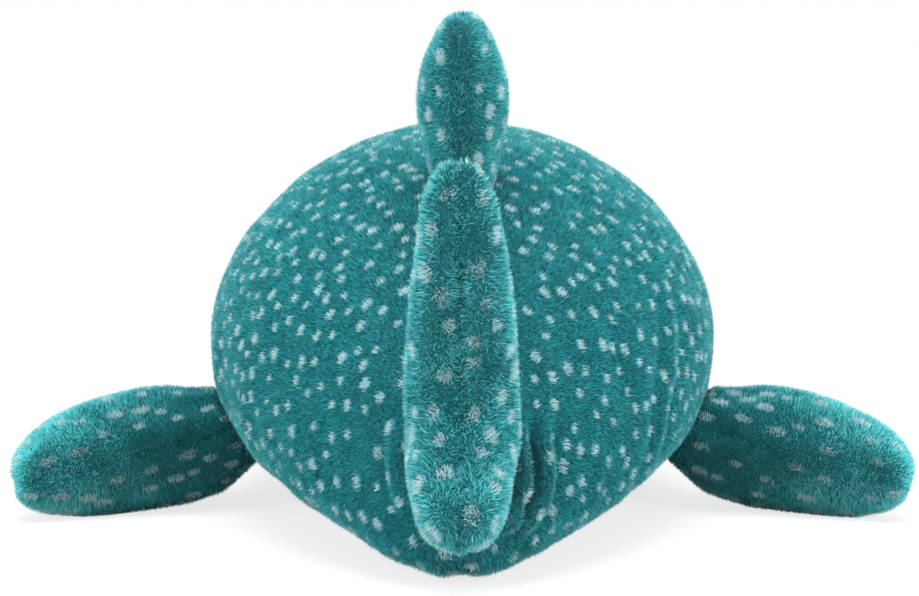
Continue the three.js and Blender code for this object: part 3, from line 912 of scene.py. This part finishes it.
# The pectorals' tone is set lighter than the body's as painted light.
PECTORAL_TONE = 0.22
PECTORAL_SINK = 0.0009
PECTORAL_POLAR = math.radians(81)
PECTORAL_AROUND = math.radians(21)
PECTORAL_DROOP = math.radians(12.5)
DORSAL = {
    "length": 0.0875, "chord": 0.094, "tip_chord": 0.046, "thickness": 0.040, "base_radius": 0.016,
    "sweep": 0.042, "base_power": 0.50, "tip_power": 1.0, "base_drop": 0, "base_flare": 0, "taper": 0.28,
    "seam_depth": 0.0028,
}
DORSAL_POLAR = math.radians(60)
DORSAL_GAP = 0.0003


def paddle_point(fin, polar, around):
    """The outside of a paddle fin in its own frame: x through it, y forward and z out along it."""
    out = (1 - math.cos(polar)) / 2
    swell = max(math.sin(polar), 0)
    broad = swell ** (BASE_CHORD_POWER + (TIP_CHORD_POWER - BASE_CHORD_POWER) * out)
    half_chord = (fin["chord"] + (fin["tip_chord"] - fin["chord"]) * out) / 2 * broad
    plump = swell ** (fin["base_power"] + (fin["tip_power"] - fin["base_power"]) * out)
    through = fin["thickness"] / 2 * plump * math.cos(around) * (1 + fin["taper"] * (0.4 - out))
    if through * fin["base_drop"] > 0:
        through *= 1 + fin["base_flare"] * (1 - out) ** 2
    return Vector((
        through + fin["base_drop"] * (1 - out) ** 3,
        -half_chord * math.sin(around) - fin["sweep"] * out * out,
        fin["length"] * out - fin["base_radius"],
    ))


def seat_matrix(polar, around, height, outwards=None):
    """A frame seated on the body: y along the skin towards the nose, z outwards."""
    step = 1e-3
    outward = body_outward(polar, around)
    forward = (body_point(polar + step, around) - body_point(polar - step, around)).normalized()
    side = forward.cross(outwards or outward).normalized()
    axes = Matrix((side, forward, side.cross(forward))).transposed().to_4x4()
    return Matrix.Translation(body_point(polar, around) + outward * height) @ axes


def in_frame(places, seat):
    """Places in a seat's own frame."""
    inverse = np.array(seat.inverted())
    return places @ inverse[:3, :3].T + inverse[:3, 3]


def settle_on_body(cover, heights, reach):
    """Draws the base of a fin onto the body's cover, where it is sewn, and keeps the rest clear of it."""
    places = array_of(cover.data.vertices, "co", 3)
    for index, (place, height) in enumerate(zip(places, heights)):
        if height > SETTLE_FAR * reach:
            continue
        near, normal, _, _ = body_tree.find_nearest(Vector(place))
        seated = np.array(near + normal * FIN_CLEARANCE)
        share = min(max(1 - height / reach, 0), 1)
        places[index] = place + (seated - place) * share * share * (3 - 2 * share)
        if (Vector(places[index]) - near).dot(normal) < FIN_CLEARANCE:
            places[index] = seated
    move_vertices(cover, places)


def crease_seam(cover, aside, depth, seed):
    """The groove of a fin's seam, deeper where the thread pulls."""
    places = array_of(cover.data.vertices, "co", 3)
    normals = array_of(cover.data.vertices, "normal", 3)
    pull = np.exp(-(aside / FIN_SEAM_WIDTH) ** 2) * (0.75 + 0.6 * waves(places, 0.016, seed + 5))
    move_vertices(cover, places - normals * (depth * pull)[:, None])


def finish_fin(cover, skins):
    """The backing, and what a fin cover stands for."""
    cover.data.materials.clear()
    cover.data.materials.append(teal_backing)
    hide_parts(*skins)


def paddle_cover(name, fin, seat, skins, seed):
    """A stuffed paddle fin, gathered where it is sewn on."""
    fin_bm = bmesh.new()
    bmesh.ops.create_uvsphere(fin_bm, u_segments=FIN_SIDES, v_segments=FIN_RINGS, radius=1)
    for vertex in fin_bm.verts:
        polar = math.acos(max(-1, min(1, -vertex.co.z)))
        vertex.co = seat @ paddle_point(fin, polar, -math.atan2(vertex.co.y, vertex.co.x))
    fin_bm.normal_update()
    for vertex, outward in [(v, v.normal.copy()) for v in fin_bm.verts]:
        vertex.co -= outward * FIN_PILE_DEPTH
    cover = new_mesh_object(name, fin_bm)
    local = in_frame(array_of(cover.data.vertices, "co", 3), seat)
    mark_seam(cover, np.exp(-(local[:, 0] / FIN_SEAM_WIDTH) ** 2))
    stuff(cover, FIN_PRESSURE)
    subdivide(cover, 1)
    add_lumps(cover, FIN_LUMPS, seed)
    places = array_of(cover.data.vertices, "co", 3)
    local = in_frame(places, seat)
    crease_seam(cover, local[:, 0], fin["seam_depth"], seed)
    places = array_of(cover.data.vertices, "co", 3)
    normals = array_of(cover.data.vertices, "normal", 3)
    height = local[:, 2] + fin["base_radius"]
    turn = np.arctan2(local[:, 1], local[:, 0])
    gather = 0.5 - 0.5 * np.cos(GATHERS * turn + 1.5 * waves(places, 0.03, seed + 7))
    gather *= np.exp(-(height / GATHER_REACH) ** 2)
    pressed = np.where(height < BASE_PRESSED, height ** 2 / BASE_PRESSED, height)
    down = np.array(seat.to_3x3() @ Vector((0, 0, 1))) * (pressed - height)[:, None]
    move_vertices(cover, places + down - normals * (GATHER_DEPTH * gather)[:, None])
    settle_on_body(cover, pressed, BASE_REACH)
    finish_fin(cover, skins)
    return cover


def near_body_trim(places):
    """How long a fin's pile stands: short where the fin meets the body."""
    gaps = np.array([body_tree.find_nearest(Vector(place))[3] for place in places])
    return np.clip((gaps - BARE_GAP) / FULL_GAP, 0, 1)


def dress_fin(cover, seat, lay, look, seed):
    """Spotted pile on a fin, with no spot on its seam."""
    surface = Surface(cover)
    every = np.arange(len(surface.areas))
    to_seat = seat.inverted()
    from_seam = look["from_seam"]
    spots = spot_middles(cover, lambda place, face: abs((to_seat @ place).x) > from_seam,
                         look["spacing"], seed)
    look = dict(look, spots=spots, trim=near_body_trim)
    pile = grow_pile(cover.name.replace("cover", "pile"), surface, every, lay, look, seed)
    return pile


def sew_on(pieces):
    """Bakes each piece's placement into its mesh."""
    for piece in pieces:
        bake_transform(piece)


def painted_tip_light(places):
    """Paler towards the tips of the pectoral fins: painted light, standing in for the side light and sheen on
    the pile there.
    """
    return PECTORAL_TONE + TIP_PAINTED_LIGHT * np.clip((np.abs(places[:, 0]) - PALE_START) / PALE_RUN, 0, 1)


for side, sign in (("left", -1), ("right", 1)):
    body = side + "_pectoral"
    outwards = Vector((sign * math.cos(PECTORAL_DROOP), 0, -math.sin(PECTORAL_DROOP)))
    around = math.pi / 2 - sign * (math.pi / 2 + PECTORAL_AROUND)
    seat = seat_matrix(PECTORAL_POLAR, around, PECTORAL["base_radius"] - PECTORAL_SINK, outwards)
    skins = (body + "_upper_skin", body + "_lower_skin")
    fin = dict(PECTORAL, base_drop=sign * PECTORAL["base_drop"])
    pectoral = paddle_cover(body + "_cover", fin, seat, skins, 30)
    tipward = np.array(seat.to_3x3() @ Vector((0, -0.3, 0.95)))
    pile = dress_fin(pectoral, seat, lambda places, normals: np.broadcast_to(tipward, places.shape),
                     dict(FIN_LOOK, spacing=0.0112, spot_length=0.0036, spot_width=0.0017, tone=painted_tip_light),
                     200 + 10 * sign)
    sew_on((pectoral, pile))

dorsal_seat = seat_matrix(DORSAL_POLAR, math.pi / 2, DORSAL_GAP + DORSAL["base_radius"])
dorsal = paddle_cover("dorsal_cover", DORSAL, dorsal_seat, ("dorsal_left_skin", "dorsal_right_skin"), 40)
upward = np.array(dorsal_seat.to_3x3() @ Vector((0, -0.4, 0.9)))
dorsal_pile = dress_fin(dorsal, dorsal_seat, lambda places, normals: np.broadcast_to(upward, places.shape),
                        dict(FIN_LOOK, spacing=0.0124), 230)
sew_on((dorsal, dorsal_pile))

# The tail fin: an upright crescent of two skins, stuffed and seamed round its rim like the other fins.
# Its front edge is sewn to the end of the body, and its filling is a wad a little smaller than the cover.
TAIL_HEART = np.array([0, -0.290, 0.066])
TAIL_LAY = np.array([0.6, 0.35, 1.6])
TAIL_SKINS = ("tail_left_skin", "tail_right_skin")
TAIL_HEIGHTS = (0.030, 0.045, 0.067, 0.090, 0.120, 0.160)
TAIL_WIDTHS = (0.82, 0.85, 0.94, 0.93, 0.88, 0.80)
TAIL_RISE = 0.0018
TAIL_RISE_START = 0.10
TAIL_RISE_RUN = 0.06
TAIL_REACH = 0.004
JOIN_ANGLE = 3.1
TAIL_SEAM_DEPTH = 0.0026
TAIL_WAD_INSET = 0.005
TAIL_WAD_FRONT = -0.281
TAIL_WAD_SHARE = 0.35
# The tail's tone is set lighter than the body's as painted light, for the light that only grazes its rear
# face.
TAIL_TONE = 0.49
ROOT_NEAR = 0.012
ROOT_FAR = 0.026


def fit_inside(cover, nodes, depth):
    """Scales a cover to the box of its CAD skins, less the depth of the pile."""
    wanted = np.concatenate([array_of(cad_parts[node].data.vertices, "co", 3) for node in nodes])
    low, high = wanted.min(0) + depth, wanted.max(0) - depth
    places = array_of(cover.data.vertices, "co", 3)
    share = (places - places.min(0)) / (places.max(0) - places.min(0))
    move_vertices(cover, low + share * (high - low))


def reach_body(cover):
    """Draws the front edge of the tail fin forward onto the end of the body, where they are near."""
    places = array_of(cover.data.vertices, "co", 3)
    normals = array_of(cover.data.vertices, "normal", 3)
    for index, (place, normal) in enumerate(zip(places, normals)):
        if normal[1] <= 0:
            continue
        _, _, _, gap = body_tree.ray_cast(Vector(place), Vector((0, 1, 0)))
        if gap is not None and gap < ROOT_FAR:
            fade = min((ROOT_FAR - gap) / (ROOT_FAR - ROOT_NEAR), 1)
            turned = normal[1] ** 2 * (3 - 2 * normal[1])
            places[index][1] += gap * fade * turned
    move_vertices(cover, places)


tail_bm = merged_copy("tail_filling")
bmesh.ops.join_triangles(tail_bm, faces=tail_bm.faces, angle_face_threshold=JOIN_ANGLE,
                         angle_shape_threshold=JOIN_ANGLE)
tail_bm.normal_update()
for vertex, outward in [(v, v.normal.copy()) for v in tail_bm.verts]:
    vertex.co += outward * FIN_SWELL
tail = new_mesh_object("tail_cover", tail_bm)
subdivide(tail, 2)
fit_inside(tail, TAIL_SKINS, FIN_PILE_DEPTH)
mark_seam(tail, np.exp(-(array_of(tail.data.vertices, "co", 3)[:, 0] / FIN_SEAM_WIDTH) ** 2))
stuff(tail, FIN_PRESSURE)
subdivide(tail, 1)
fit_inside(tail, TAIL_SKINS, FIN_PILE_DEPTH)
tail_places = array_of(tail.data.vertices, "co", 3)
tail_places[:, 0] *= np.interp(tail_places[:, 2], TAIL_HEIGHTS, TAIL_WIDTHS)
tail_places[:, 2] += TAIL_RISE * np.clip((tail_places[:, 2] - TAIL_RISE_START) / TAIL_RISE_RUN, 0, 1)
move_vertices(tail, tail_places)
add_lumps(tail, FIN_LUMPS, 50)
crease_seam(tail, array_of(tail.data.vertices, "co", 3)[:, 0], TAIL_SEAM_DEPTH, 50)
reach_body(tail)
settle_on_body(tail, -BODY["rear"] - array_of(tail.data.vertices, "co", 3)[:, 1], TAIL_REACH)
tail_wad = tail.copy()
tail_wad.data = tail.data.copy()
tail_wad.name = "tail_filling_wad"
scene.collection.objects.link(tail_wad)
tail_tree = tree_of(tail)
wad_places = []
for vertex in tail.data.vertices:
    inward = -vertex.normal
    _, _, _, through = tail_tree.ray_cast(vertex.co + inward * 1e-4, inward)
    place = vertex.co + inward * min(TAIL_WAD_INSET, TAIL_WAD_SHARE * (through or 0))
    wad_places.append((place.x, min(place.y, TAIL_WAD_FRONT), place.z))
move_vertices(tail_wad, np.array(wad_places))
finish_wad(tail_wad, "tail_filling", "tail_fin")
finish_fin(tail, TAIL_SKINS)
tail_pile = dress_fin(tail, Matrix(), lambda places, normals: (places - TAIL_HEART) * TAIL_LAY,
                      dict(FIN_LOOK, spacing=0.0099, from_seam=0.0042, tone=even_tone(TAIL_TONE)), 240)
sew_on((tail, tail_pile))
